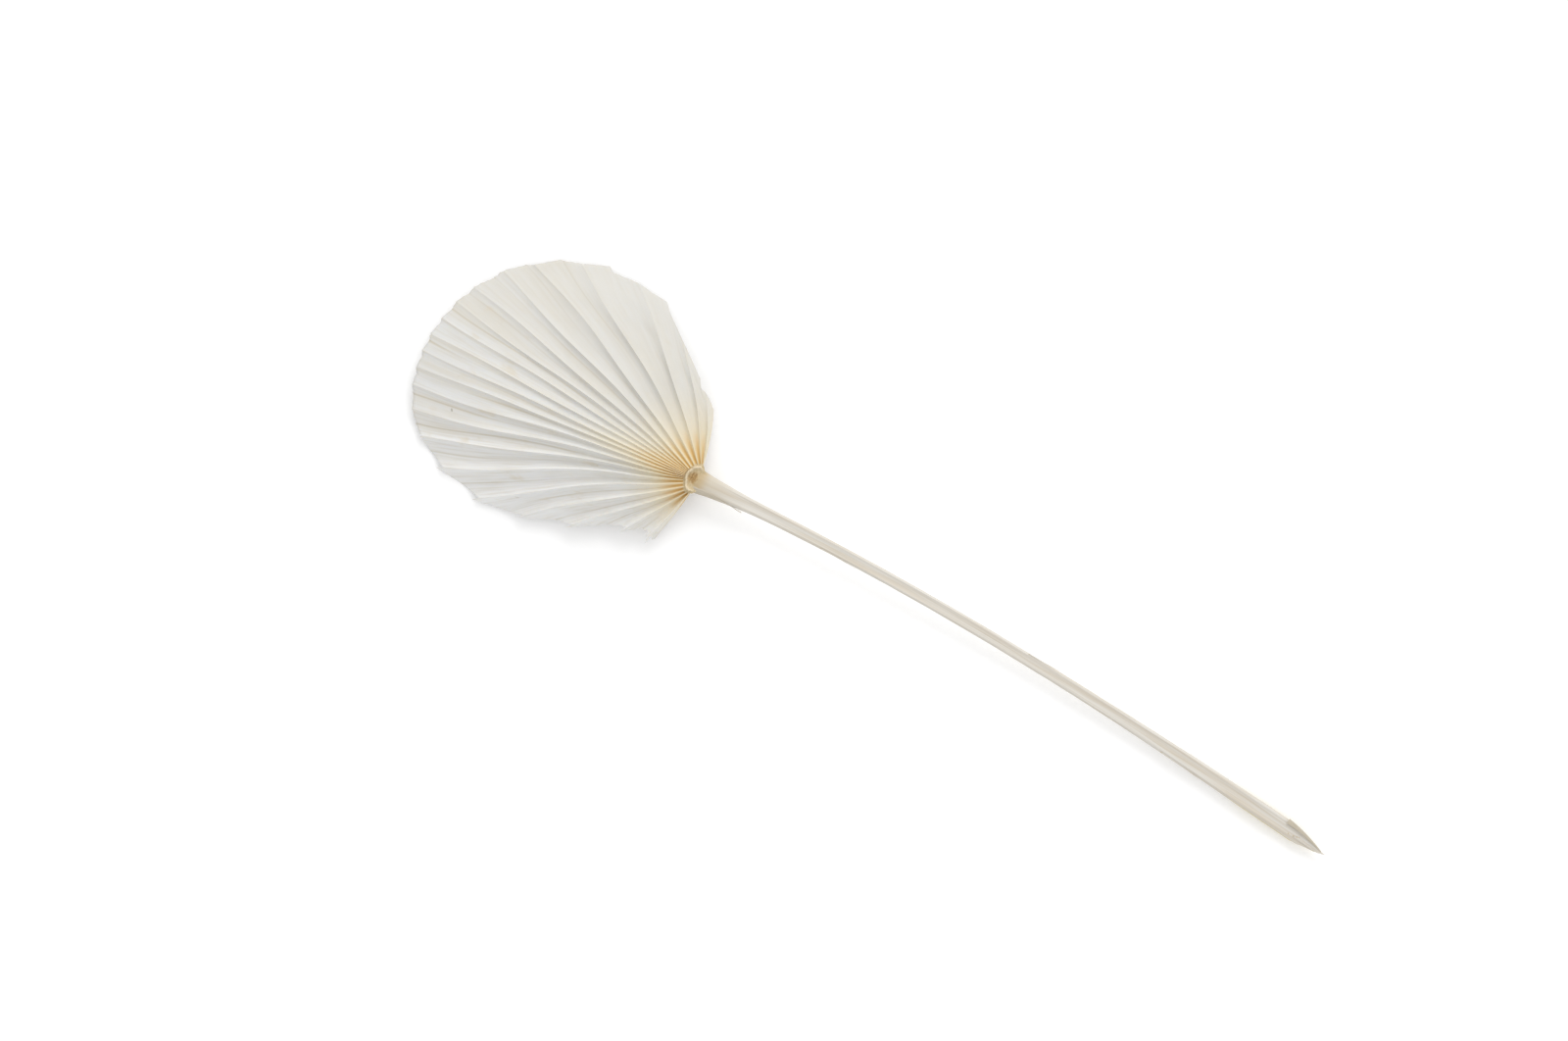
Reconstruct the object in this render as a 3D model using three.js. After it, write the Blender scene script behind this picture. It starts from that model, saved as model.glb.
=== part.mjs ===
// Dried, bleached leaf of a fan palm, lying on its underside: a pleated blade trimmed to a round
// outline, the collar (hastula) where its ribs start, and the long leaf stalk (petiole).
// Millimetres, +Z up. The hub where the ribs meet is the working origin: the blade runs to -X and
// the stalk to +X. At the end the leaf is moved so that its box stands centred on the origin.

import * as THREE from 'three';
import { mergeVertices } from 'three/addons/utils/BufferGeometryUtils.js';

const { degToRad, lerp, smoothstep } = THREE.MathUtils;

// ---- Blade ----
const RIM_CIRCLE = 153; // diameter of the trimmed circle, which passes through the hub
const SHORTEST_SEGMENT = 38.5; // length of the outermost segments
const FLANK_TRIM = 0.37; // how much the -Y flank falls short of the circle, as a share
const FLANK_TRIM_FROM = 8; // degrees from the axis over which that comes in
const FLANK_TRIM_TO = 60;
const SHOULDER_TRIM = 0.18; // the same for the outer end of the +Y flank
const SHOULDER_TRIM_FROM = 52;
const SHOULDER_TRIM_TO = 66;
const RIDGES = 21;
const LAST_FOLD = 2 * RIDGES; // folds 1, 3, 5 ... are ridges, the even ones are valleys
const SHOULDER = { spread: 74, evenShare: 0.453 }; // +Y side: degrees to its outermost ridge, and
const FLANK = { spread: 79, evenShare: 0.4 }; // share of them that is even; the rest crowds pleats
const FAN_SKEW = -1.5; // degrees
const FREE_EDGE = 1.035; // place of either free edge in the fan, where the last ridge is 1
const VALLEY_LEAN = 0.34; // share of a panel by which a valley lies off the middle of its pleat
const FLANK_LEAN = -0.15; // the same on the -Y flank
const LEAN_FROM = -0.6; // shares of the fan between which one lean turns into the other
const LEAN_TO = -0.1;
const SPACING_JITTER = 0.2; // share of a panel by which folds stray
const START_DEPTH = 5.6; // the folds start on an ellipse round the collar: its half axis along X
const START_HALF = 7.4; // and along Y
const FRONT_SPREAD = 52; // degrees round the collar over which the folds are evenly spread
const SIDE_SPREAD = 58; // degrees more by which the outer ones crowd to its ends
const SIDE_FROM = 0.45; // share of the fan where that sets in
const BLADE_THICKNESS = 0.7;
const PLEAT_AT_HUB = 0.6; // width of the pleats where they start
const PLEAT_STEEPNESS = 0.38; // height over width of a narrow pleat
const PLEAT_LIMIT = 1.9; // half height that a very wide pleat would reach
const FLANK_PLEAT_LIMIT = 5; // the same on the -Y flank
const FLANK_FROM = 0.1; // shares of that side of the fan over which the flank sets in
const FLANK_FULL = 0.6;
const PLEAT_SPREAD = 0.25; // how much one pleat may be taller than the next
const RIM_FADE = 0.7; // share of their height that pleats lose towards the rim
const FLANK_RIM_FADE = 0.3;
const RIM_FADE_FROM = 0.35; // share of a fold's length
const MIDDLE_NOTCH = 0.002; // how far ridges stand past the rim and valleys fall short of it
const FLANK_NOTCH = 0.035;
const SHOULDER_NOTCH = -0.02; // here the valleys reach further than the ridges
const NOTCH_START = 0.5; // share of the fan where the notches of the sides set in
const NOTCH_FULL = 0.85;
const FLAP_TIP = 4.8; // how far the last ridge stands past the rim
const FLAP_CORNER = -2.4; // and the free edge beyond it
const SHOULDER_BOW = 0.032; // share of its length by which an outer +Y fold bows
const SWAY = 0.2; // degrees by which neighbouring folds drift together
const FLANK_SWAY = 2.4;
const SWAY_WAVE = 27;
const SWAY_PHASE = 0.1;
const WOBBLE = 0.14; // share of a panel by which a fold wavers by itself
const WOBBLE_WAVE = 15;
const WOBBLE_SPREAD = 5; // how far the waves of different folds are out of step
const STRAIGHT_UNTIL = 8; // folds are straight this near the hub
const WAVY_FROM = 40;
const BLADE_ROWS = 12;
const ROW_GROWTH = 1.4; // rows are closer together near the hub

// ---- How the blade arches over the surface that it lies on ----
const HUB_HEIGHT = 13;
const CROWN_RISE = 9;
const TIP_DROP = 6;
const SHOULDER_DROP = 15.3; // +Y flank, at HALF_WIDTH from the axis
const FLANK_DROP = 26; // -Y flank
const HALF_WIDTH = 70;
const FLAP_DROP = 5; // the outermost +Y panel is folded down

// ---- Stalk ----
const STALK_PATH = new THREE.CubicBezierCurve3(
  new THREE.Vector3(-4.5, -0.6, 9.4),
  new THREE.Vector3(128, 4.5, 9.2),
  new THREE.Vector3(250, -9, 1.6),
  new THREE.Vector3(354.5, -22.2, 2.2),
);
const STALK_HALF = 3.2; // half width along most of its length
const STALK_HEAD_EXTRA = 4.4; // added to it at the hub
const STALK_TAPER = 17; // length over which most of that goes
const STALK_FOOT_HALF = 4.4;
const STALK_FLATNESS = 0.68; // half thickness over half width
const STALK_THICKEST = 3.4; // half thickness that the wide head doesn't pass
const STALK_NOSE = 5.4; // radius of the head where it ends inside the collar
const FOOT_START = 0.55; // share of the length where the stalk starts to widen again
const GROOVE = 0.45; // depth of the channel along the top, over half thickness
const GROOVE_NARROWNESS = 2.2;
const GROOVE_START = 0.02; // shares of the length over which the channel deepens
const GROOVE_FULL = 0.1;
const END_REACH = 19; // the torn end narrows to a point over this length
const END_LEAN = 0.1; // how far off the middle its point is
const END_THINNING = 0.6; // share of the thickness that it loses
const END_START = 0.93; // share of the length where it starts
const STALK_STEPS = 44;
const STALK_SIDES = 16;

// ---- Collar ----
const CREST_DEPTH = 5.2; // outer half axes of the crest, along X and along Y
const CREST_HALF = 7;
const CREST_BREADTH = 1.9; // width of the crest, seen from above
const CREST_HEIGHT = 2.1;
const CREST_OPENING = 80; // degrees either side of the stalk that the crest leaves open
const CLEARANCE = 0.3; // gap between neighbouring solids

const COLOURS = { blade: 0xe9e6dd, stalk: 0xe2dccf, collar: 0xd9c9a6 };

// Phases of the unevenness of the folds, one for each thing that varies.
const SPACING_PHASE = 0.4;
const WOBBLE_PHASE = 2.2;
const HEIGHT_PHASE = 2.9;

// A repeatable unevenness between -1 and 1 for fold number n, so that no two pleats are alike.
// Two sine waves of unrelated lengths never fall in step.
function uneven(n, phase) {
  return 0.6 * Math.sin(n * 12.9 + phase) + 0.4 * Math.sin(n * 5.3 + 2 * phase);
}

// Turns a closed three.js shape into another by moving each of its vertices.
function warp(geometry, move) {
  geometry.deleteAttribute('normal');
  geometry.deleteAttribute('uv');
  const merged = mergeVertices(geometry, 1e-4);
  const places = merged.attributes.position;
  const point = new THREE.Vector3();
  for (let i = 0; i < places.count; i += 1) {
    point.fromBufferAttribute(places, i);
    const moved = move(point);
    places.setXYZ(i, moved.x, moved.y, moved.z);
  }
  merged.computeVertexNormals();
  return merged;
}

// Place in plan at a distance from the hub, at an angle from the blade's axis towards +Y.
function fromHub(radius, degrees) {
  const angle = degToRad(degrees);
  return new THREE.Vector2(-radius * Math.cos(angle), radius * Math.sin(angle));
}

function isRidge(fold) {
  return fold % 2 === 1;
}

// Fold number as a share of the fan: -1 and 1 are the outermost ridges. Valleys lean off the
// middle between their ridges, except for the two that are the free edges of the blade.
function foldFraction(fold) {
  if (fold === 0 || fold === LAST_FOLD) {
    return FREE_EDGE * Math.sign(fold - RIDGES);
  }
  const even = (fold - RIDGES) / (RIDGES - 1);
  const lean = lerp(FLANK_LEAN, VALLEY_LEAN, smoothstep(even, LEAN_FROM, LEAN_TO));
  return isRidge(fold) ? even : even + lean / (RIDGES - 1);
}

function sideOfFan(u) {
  return u > 0 ? SHOULDER : FLANK;
}

// Width of a panel in degrees at this share of the fan: little in the middle, much on both sides.
// It is the slope of the curve in foldAngle.
function panelDegrees(u) {
  const { spread, evenShare } = sideOfFan(u);
  return (spread * (evenShare + 3 * (1 - evenShare) * u ** 2)) / (RIDGES - 1);
}

function foldAngle(fold) {
  const u = foldFraction(fold);
  const { spread, evenShare } = sideOfFan(u);
  const stray = Math.abs(u) < 1 ? SPACING_JITTER * uneven(fold, SPACING_PHASE) : 0;
  const crowded = evenShare * u + (1 - evenShare) * u ** 3;
  return FAN_SKEW + spread * crowded + stray * panelDegrees(u);
}

function rimRadius(degrees) {
  const onCircle = RIM_CIRCLE * Math.max(0, Math.cos(degToRad(degrees)));
  const flank = FLANK_TRIM * smoothstep(-degrees, FLANK_TRIM_FROM, FLANK_TRIM_TO);
  const shoulder = SHOULDER_TRIM * smoothstep(degrees, SHOULDER_TRIM_FROM, SHOULDER_TRIM_TO);
  return Math.max(SHORTEST_SEGMENT, onCircle * (1 - flank - shoulder));
}

// Place in plan where a fold comes out from under the collar.
function foldStart(u) {
  const crowded = SIDE_SPREAD * smoothstep(Math.abs(u), SIDE_FROM, 1);
  const start = fromHub(1, Math.sign(u) * (FRONT_SPREAD * Math.abs(u) + crowded));
  return new THREE.Vector2(start.x * START_DEPTH, start.y * START_HALF);
}

// Degrees by which a fold strays from its straight course at a distance from the hub.
function foldWaver(fold, distance) {
  const u = foldFraction(fold);
  const drift = (SWAY + FLANK_SWAY * Math.max(0, -u)) * Math.sin(distance / SWAY_WAVE - SWAY_PHASE);
  const ownPhase = WOBBLE_SPREAD * uneven(fold, WOBBLE_PHASE);
  const wobble = WOBBLE * panelDegrees(u) * Math.sin(distance / WOBBLE_WAVE + ownPhase);
  return (drift + wobble) * smoothstep(distance, STRAIGHT_UNTIL, WAVY_FROM);
}

// Place in plan of a fold line, from the collar at t = 0 to the rim at t = 1.
function foldPlace(fold, t) {
  const angle = foldAngle(fold);
  const u = foldFraction(fold);
  const start = foldStart(u);
  const sideNotch = u > 0 ? SHOULDER_NOTCH : FLANK_NOTCH;
  const notch = lerp(MIDDLE_NOTCH, sideNotch, smoothstep(Math.abs(u), NOTCH_START, NOTCH_FULL));
  const flap = { [LAST_FOLD - 1]: FLAP_TIP, [LAST_FOLD]: FLAP_CORNER }[fold] ?? 0;
  const reach = rimRadius(angle) * (isRidge(fold) ? 1 + notch : 1 - notch) + flap;
  const chord = fromHub(reach, angle).sub(start);
  const across = new THREE.Vector2(chord.y, -chord.x);
  const bow = SHOULDER_BOW * Math.max(0, u) ** 2 * Math.sin(Math.PI * t);
  const place = start.addScaledVector(chord, t).addScaledVector(across, bow);
  return place.rotateAround(new THREE.Vector2(), -degToRad(foldWaver(fold, place.length())));
}

// Half height of the pleats: narrow pleats are steep, wide ones are flatter.
function pleatHeight(fold, t, distance) {
  const u = foldFraction(fold);
  const flank = smoothstep(-u, FLANK_FROM, FLANK_FULL);
  const width = PLEAT_AT_HUB + 2 * distance * degToRad(panelDegrees(u));
  const height = PLEAT_STEEPNESS * width;
  const levelled = height / (1 + height / lerp(PLEAT_LIMIT, FLANK_PLEAT_LIMIT, flank));
  const fade = lerp(RIM_FADE, FLANK_RIM_FADE, flank) * smoothstep(t, RIM_FADE_FROM, 1);
  return levelled * (1 + PLEAT_SPREAD * uneven(fold, HEIGHT_PHASE)) * (1 - fade);
}

// Height of the smooth arch that the pleats follow.
function archHeight(place) {
  const along = -place.x / RIM_CIRCLE;
  const sideways = (place.y / HALF_WIDTH) ** 2;
  const crown = CROWN_RISE * Math.sin(Math.PI * THREE.MathUtils.clamp(along, 0, 1));
  const side = (place.y > 0 ? SHOULDER_DROP : FLANK_DROP) * sideways;
  return HUB_HEIGHT + crown - TIP_DROP * along ** 2 - side;
}

// The blade is a flat block with one column for each half pleat, folded into place.
function makeBlade() {
  const block = new THREE.BoxGeometry(LAST_FOLD, 1, 1, LAST_FOLD, BLADE_ROWS, 1);
  return warp(block, (p) => {
    const fold = Math.round(p.x + RIDGES);
    const t = (p.y + 0.5) ** ROW_GROWTH;
    const place = foldPlace(fold, t);
    const height = pleatHeight(fold, t, place.length()) * (isRidge(fold) ? 1 : -1);
    const flap = fold === LAST_FOLD ? -FLAP_DROP * Math.sqrt(t) : 0;
    const top = archHeight(place) + height + flap;
    return new THREE.Vector3(place.x, place.y, p.z > 0 ? top : top - BLADE_THICKNESS);
  });
}

// The head is rounded inside the collar, spreads just past it and then tapers into the stalk.
function stalkHalfWidth(x, distance, length) {
  const head = STALK_HEAD_EXTRA * Math.exp(-distance / STALK_TAPER);
  const foot = (STALK_FOOT_HALF - STALK_HALF) * smoothstep(distance, FOOT_START * length, length);
  const room = x < 0 ? Math.sqrt(STALK_NOSE ** 2 - x ** 2) : STALK_NOSE + x;
  return Math.min(STALK_HALF + head + foot, room);
}

// The stalk is a round bar laid along its path, with a channel along its upper side.
function makeStalk() {
  const length = STALK_PATH.getLength();
  const bar = new THREE.CylinderGeometry(1, 1, 1, STALK_SIDES, STALK_STEPS, false);
  return warp(bar, (p) => {
    const u = 0.5 - p.y;
    const centre = STALK_PATH.getPointAt(u);
    const heading = STALK_PATH.getTangentAt(u);
    const across = new THREE.Vector3(-heading.y, heading.x, 0).normalize();
    const half = stalkHalfWidth(centre.x, u * length, length);
    const ending = smoothstep(u, END_START, 1);
    const thickness = Math.min(half * STALK_FLATNESS, STALK_THICKEST);
    const depth = thickness * (1 - END_THINNING * ending);
    const grooveDepth = p.z > 0 ? GROOVE * smoothstep(u, GROOVE_START, GROOVE_FULL) : 0;
    const channel = grooveDepth * Math.max(0, 1 - GROOVE_NARROWNESS * p.x ** 2);
    const point = centre.clone().addScaledVector(across, p.x * half);
    point.addScaledVector(heading, END_REACH * ending * (1 - Math.abs(p.x + END_LEAN)));
    point.z += (p.z - channel) * depth;
    return point;
  });
}

// The collar is a low crest standing round the end of the stalk, open towards the stalk.
function makeCollar() {
  const open = degToRad(CREST_OPENING);
  const closed = 2 * Math.PI - open;
  const innerDepth = CREST_DEPTH - CREST_BREADTH;
  const innerHalf = CREST_HALF - CREST_BREADTH;
  const crescent = new THREE.Shape();
  crescent.absellipse(0, 0, CREST_DEPTH, CREST_HALF, open, closed, false);
  crescent.absellipse(0, 0, innerDepth, innerHalf, closed, open, true);
  crescent.closePath();
  const crest = new THREE.ExtrudeGeometry(crescent, {
    depth: CREST_HEIGHT,
    bevelEnabled: false,
    curveSegments: 14,
  });
  const top = HUB_HEIGHT + CLEARANCE;
  return warp(crest, (p) => new THREE.Vector3(p.x, p.y, p.z + top));
}

function makeMesh(name, geometry, colour, roughness) {
  const finish = new THREE.MeshStandardMaterial({ color: colour, roughness, metalness: 0 });
  const mesh = new THREE.Mesh(geometry, finish);
  mesh.name = name;
  return mesh;
}

const group = new THREE.Group();
group.add(makeMesh('blade', makeBlade(), COLOURS.blade, 0.8));
group.add(makeMesh('petiole', makeStalk(), COLOURS.stalk, 0.7));
group.add(makeMesh('hastula', makeCollar(), COLOURS.collar, 0.75));

// Stand the whole leaf centred on the origin, with its lowest point at Z = 0.
const box = new THREE.Box3().setFromObject(group);
const centre = box.getCenter(new THREE.Vector3());
for (const mesh of group.children) {
  mesh.position.set(-centre.x, -centre.y, -box.min.z);
}

export default group;
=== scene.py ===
# %% [markdown]
# # A dried fan palm leaf
#
# The object is one leaf of a fan palm, dried, bleached and trimmed to a round outline. It lies on a
# pale table with its upper side up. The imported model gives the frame: where the hub is, how large
# the blade is and how the stalk runs. Every piece here is a finer skin over one of its solids, so
# each is built from about the same dimensions and then given what a real leaf has: rounded folds,
# ribs, torn tips, fibres and a stain round the hub.

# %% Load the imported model
import math

import bmesh
import bpy
from mathutils import Matrix, Vector, noise


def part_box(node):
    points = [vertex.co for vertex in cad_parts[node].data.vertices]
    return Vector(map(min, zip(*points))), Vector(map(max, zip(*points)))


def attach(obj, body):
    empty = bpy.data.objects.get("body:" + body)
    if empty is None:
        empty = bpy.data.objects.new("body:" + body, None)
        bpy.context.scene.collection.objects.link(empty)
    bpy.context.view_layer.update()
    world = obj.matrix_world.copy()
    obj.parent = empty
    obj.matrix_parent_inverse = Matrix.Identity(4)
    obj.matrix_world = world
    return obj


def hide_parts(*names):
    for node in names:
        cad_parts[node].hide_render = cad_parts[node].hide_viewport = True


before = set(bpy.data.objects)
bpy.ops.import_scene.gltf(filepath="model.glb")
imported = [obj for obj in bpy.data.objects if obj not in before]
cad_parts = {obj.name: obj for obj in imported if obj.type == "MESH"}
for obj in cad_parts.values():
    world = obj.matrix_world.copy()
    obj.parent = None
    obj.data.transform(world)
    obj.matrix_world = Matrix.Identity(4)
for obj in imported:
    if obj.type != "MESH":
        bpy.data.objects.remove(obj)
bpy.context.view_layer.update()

MM = 0.001


def mix(a, b, share):
    """The value share of the way from a to b."""
    return a + (b - a) * share


def smooth(value, low, high):
    """0 below low, 1 above high, and an even ease between them."""
    share = min(1.0, max(0.0, (value - low) / (high - low)))
    return share * share * (3 - 2 * share)


def uneven(n, phase):
    """A repeatable unevenness between -1 and 1 for fold or fibre number n."""
    return 0.6 * math.sin(n * 12.9 + phase) + 0.4 * math.sin(n * 5.3 + 2 * phase)


# %% [markdown]
# ## The working frame
#
# A palm botanist measures a leaf from its hub, where the stalk ends and all ribs start. The collar
# solid stands round that point, so its box gives the hub back. From here on, places are millimetres
# from the hub, the blade runs to -X and the stalk to +X, and one function brings them to metres.

# %% Find the hub
COLLAR_REACH = 5.2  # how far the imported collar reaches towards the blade
COLLAR_BASE = 13.3  # its underside over the table
low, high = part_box("hastula")
HUB = Vector((low[0] / MM + COLLAR_REACH, (low[1] + high[1]) / 2 / MM, low[2] / MM - COLLAR_BASE))
print("hub at", [round(v, 2) for v in HUB], "mm")


def placed(point):
    """A place in millimetres from the hub, as metres in the frame."""
    return (HUB + point) * MM


# %% [markdown]
# ## The fan of folds
#
# A palmate blade grows folded like a paper fan: ridges and valleys in turn, each running from the
# collar to the rim. In this leaf the middle pleats stayed crowded and the outer ones opened wide.
# An even share plus a cube of the fold's place gives that crowding with two numbers for each side,
# and a small unevenness keeps any two pleats from being alike.

# %% Directions and reach of the folds
RIDGES = 21
LAST_FOLD = 2 * RIDGES  # odd folds are ridges, even ones are valleys
FAN_SPREAD = 74.0  # degrees from the axis to the last ridge, at the rim
EVEN_SHARE = 0.453
FLANK_SPREAD = 79.0  # the same for the first ridge, on the -Y flank
FLANK_EVEN_SHARE = 0.4
FAN_SKEW = -1.5  # degrees by which the whole fan is turned
VALLEY_LEAN = 0.34  # share of a panel by which each valley lies off the middle of its pleat
FLANK_LEAN = -0.05  # the same on the -Y flank
LEAN_OVER = (-0.6, -0.1)  # places in the fan between which one lean becomes the other
SPACING_JITTER = 0.2  # share of a panel by which folds stray
SPACING_PHASE = 0.4
COLLAR_DEPTH = 5.0  # the blade starts under the collar, on an ellipse this deep
COLLAR_HALF = 6.8  # and this wide to either side
FRONT_SPREAD = 52.0  # degrees round the collar over which the folds are evenly spread
SIDE_SPREAD = 58.0  # degrees more by which the outer ones crowd to its ends
SIDE_OVER = (0.45, 1.0)  # places in the fan over which that sets in
RIM_CIRCLE = 153.0  # diameter of the outline, a circle through the hub
SHORTEST_SEGMENT = 38.5
FLANK_TRIM = 0.37  # share of its reach that the flank has lost
FLANK_TRIM_OVER = (8, 60)  # degrees from the axis over which that sets in
SHOULDER_TRIM = 0.18
SHOULDER_TRIM_OVER = (52, 66)
MIDDLE_NOTCH = 0.002  # share by which ridges stand past the rim and valleys fall short of it
FLANK_NOTCH = 0.035
NOTCH_OVER = (0.5, 0.85)
SHOULDER_NOTCH = -0.02  # below 0, the valleys reach further than the ridges
FREE_EDGE = 1.035  # place of either free edge in the fan, where the last ridge is 1
FLAP_TIP = 4.8  # mm by which the last ridge stands past the rim
FLAP_CORNER = -2.4  # and the free edge beyond it falls short


def from_hub(radius, degrees):
    """Place in plan at an angle from the blade's axis, towards +Y."""
    angle = math.radians(degrees)
    return Vector((-radius * math.cos(angle), radius * math.sin(angle)))


def is_ridge(fold):
    return fold % 2 == 1


def fold_fraction(fold):
    """-1 at the first ridge, 1 at the last. Valleys lean off the middle between their ridges."""
    if fold in (0, LAST_FOLD):
        return math.copysign(FREE_EDGE, fold - RIDGES)
    even = (fold - RIDGES) / (RIDGES - 1)
    lean = mix(FLANK_LEAN, VALLEY_LEAN, smooth(even, *LEAN_OVER))
    return even if is_ridge(fold) else even + lean / (RIDGES - 1)


def side_of_fan(u):
    """Spread and even share on this side of the fan."""
    return (FAN_SPREAD, EVEN_SHARE) if u > 0 else (FLANK_SPREAD, FLANK_EVEN_SHARE)


def panel_degrees(u):
    """Width of a panel in degrees: little in the middle, much at both ends."""
    spread, even_share = side_of_fan(u)
    return spread * (even_share + 3 * (1 - even_share) * u * u) / (RIDGES - 1)


def fold_angle(fold):
    u = fold_fraction(fold)
    spread, even_share = side_of_fan(u)
    jitter = 0.0 if abs(u) >= 1 else SPACING_JITTER * uneven(fold, SPACING_PHASE) * panel_degrees(u)
    return FAN_SKEW + spread * (even_share * u + (1 - even_share) * u**3) + jitter


def rim_radius(degrees):
    """The trimmed outline: a circle through the hub, shorter on both flanks."""
    on_circle = RIM_CIRCLE * max(0.0, math.cos(math.radians(degrees)))
    flank = FLANK_TRIM * smooth(-degrees, *FLANK_TRIM_OVER)
    shoulder = SHOULDER_TRIM * smooth(degrees, *SHOULDER_TRIM_OVER)
    return max(SHORTEST_SEGMENT, on_circle * (1 - flank - shoulder))


print("rim at", round(rim_radius(0)), "mm in the middle,", round(rim_radius(-60)), "on the flank")

# %% [markdown]
# ## The course of one fold
#
# A fold starts under the collar and runs to the rim. A straight line would look ruled, so the outer
# folds bow, neighbours drift together in a long wave, and each one wavers a little by itself.

# %% Course of one fold
SHOULDER_BOW = 0.032  # share of its length by which an outer fold bows
SWAY = 0.2  # degrees by which neighbouring folds drift together
FLANK_SWAY = 2.4
SWAY_WAVE = 27.0
SWAY_PHASE = 0.1
WOBBLE = 0.14  # share of a panel by which a fold wavers by itself
WOBBLE_WAVE = 15.0
WOBBLE_SPREAD = 5  # how far the waves of different folds are out of step
WOBBLE_PHASE = 2.2
BEYOND_HUB = (8, 40)  # mm from the hub over which sway, ribs and dents set in


def fold_start(u):
    """Place in plan where a fold comes out of the collar."""
    round_collar = FRONT_SPREAD * abs(u) + SIDE_SPREAD * smooth(abs(u), *SIDE_OVER)
    start = from_hub(1.0, math.copysign(round_collar, u))
    return Vector((start.x * COLLAR_DEPTH, start.y * COLLAR_HALF))


def fold_place(fold, t):
    """Place in plan on a whole-numbered fold, from the collar at t = 0 to the rim at t = 1."""
    angle = fold_angle(fold)
    u = fold_fraction(fold)
    start = fold_start(u)
    side_notch = SHOULDER_NOTCH if u > 0 else FLANK_NOTCH
    notch = mix(MIDDLE_NOTCH, side_notch, smooth(abs(u), *NOTCH_OVER))
    flap = {LAST_FOLD - 1: FLAP_TIP, LAST_FOLD: FLAP_CORNER}.get(fold, 0)
    reach = rim_radius(angle) * (1 + notch if is_ridge(fold) else 1 - notch) + flap
    chord = from_hub(reach, angle) - start
    across = Vector((chord.y, -chord.x))
    bow = SHOULDER_BOW * max(0.0, u) ** 2 * math.sin(math.pi * t)
    place = start + chord * t + across * bow
    distance = place.length
    drift = (SWAY + FLANK_SWAY * max(0.0, -u)) * math.sin(distance / SWAY_WAVE - SWAY_PHASE)
    own_phase = WOBBLE_SPREAD * uneven(fold, WOBBLE_PHASE)
    own_wave = math.sin(distance / WOBBLE_WAVE + own_phase)
    waver = WOBBLE * panel_degrees(u) * own_wave
    turn = math.radians(drift + waver) * smooth(distance, *BEYOND_HUB)
    return Matrix.Rotation(-turn, 2) @ place


print("folds", LAST_FOLD + 1, "from", round(fold_angle(0), 1), "to", round(fold_angle(LAST_FOLD), 1))

# %% [markdown]
# ## Height of the pleats
#
# Two heights add up. The arch is how the stiff, dried blade stands over the table: it is highest
# along its middle and comes down to the table on both flanks. The relief is the pleat itself. A
# narrow pleat near the hub is steep, and a wide one near the rim is shallow, so the relief levels
# off as the pleat widens.

# %% Arch and relief
PLEAT_AT_HUB = 0.6  # width of a pleat at the very hub
PLEAT_STEEPNESS = 0.31  # half height over width of a narrow pleat
FLANK_STEEPNESS = 0.6
FLANK_OVER = (0.1, 0.6)  # places in the fan over which the flank's own values set in
PLEAT_LIMIT = 1.7  # half height that a wide pleat doesn't pass
FLANK_PLEAT_LIMIT = 5.0
PLEAT_SPREAD = 0.25  # how much one pleat may be taller than the next
HEIGHT_PHASE = 2.9
RIM_FADE = 0.75  # share of its height that a pleat loses at the rim
FLANK_RIM_FADE = 0.3
RIM_FADE_OVER = (0.35, 1.0)
HUB_HEIGHT = 13.0  # the arch's height over the table at the hub
CROWN_RISE = 9.0
TIP_DROP = 6.0
SHOULDER_DROP = 15.3
FLANK_DROP = 26.0
HALF_WIDTH = 70.0
FLAP_DROP = 5.0  # how far the free edge is folded down


def pleat_height(fold, t, distance):
    u = fold_fraction(fold)
    width = PLEAT_AT_HUB + 2 * distance * math.radians(panel_degrees(u))
    flank = smooth(-u, *FLANK_OVER)
    height = mix(PLEAT_STEEPNESS, FLANK_STEEPNESS, flank) * width
    levelled = height / (1 + height / mix(PLEAT_LIMIT, FLANK_PLEAT_LIMIT, flank))
    fade = mix(RIM_FADE, FLANK_RIM_FADE, flank) * smooth(t, *RIM_FADE_OVER)
    return levelled * (1 + PLEAT_SPREAD * uneven(fold, HEIGHT_PHASE)) * (1 - fade)


def arch_height(place):
    along = -place.x / RIM_CIRCLE
    crown = CROWN_RISE * math.sin(math.pi * min(1.0, max(0.0, along)))
    drop = SHOULDER_DROP if place.y > 0 else FLANK_DROP
    return HUB_HEIGHT + crown - TIP_DROP * along**2 - drop * (place.y / HALF_WIDTH) ** 2


def fold_relief(fold, t, distance):
    """Height of a whole-numbered fold over the arch."""
    height = pleat_height(fold, t, distance) * (1 if is_ridge(fold) else -1)
    flap = FLAP_DROP * math.sqrt(t) if fold == LAST_FOLD else 0.0
    return height - flap


middle_arch = arch_height(Vector((-RIM_CIRCLE / 2, 0)))
print("arch", HUB_HEIGHT, "mm at the hub and", round(middle_arch, 1), "mm in the middle")

# %% [markdown]
# ## The rim
#
# The blade was trimmed with shears while it was flat, and then the pleats closed up again and the
# brittle tips tore. In the middle the edge is only scalloped. On both sides each pleat ends in an
# oblique step, and on the lower flank the tips are pointed and a few are split along a vein. A saw
# wave gives the steps, and narrow dips give the splits.

# %% Torn rim
STEP_DEPTH = 4.0  # height of the steps on the shoulder
TIP_DEPTH = 4.6  # and of the pointed tips on the flank
STEPS_OVER = (0.55, 0.78)  # places in the fan over which they set in
STEPS_END = (1.0, 0.94)  # and stop
TIPS_OVER = (0.36, 0.5)
SCALLOP_DEPTH = 0.5
FRAY_DEPTH = 0.4
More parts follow.
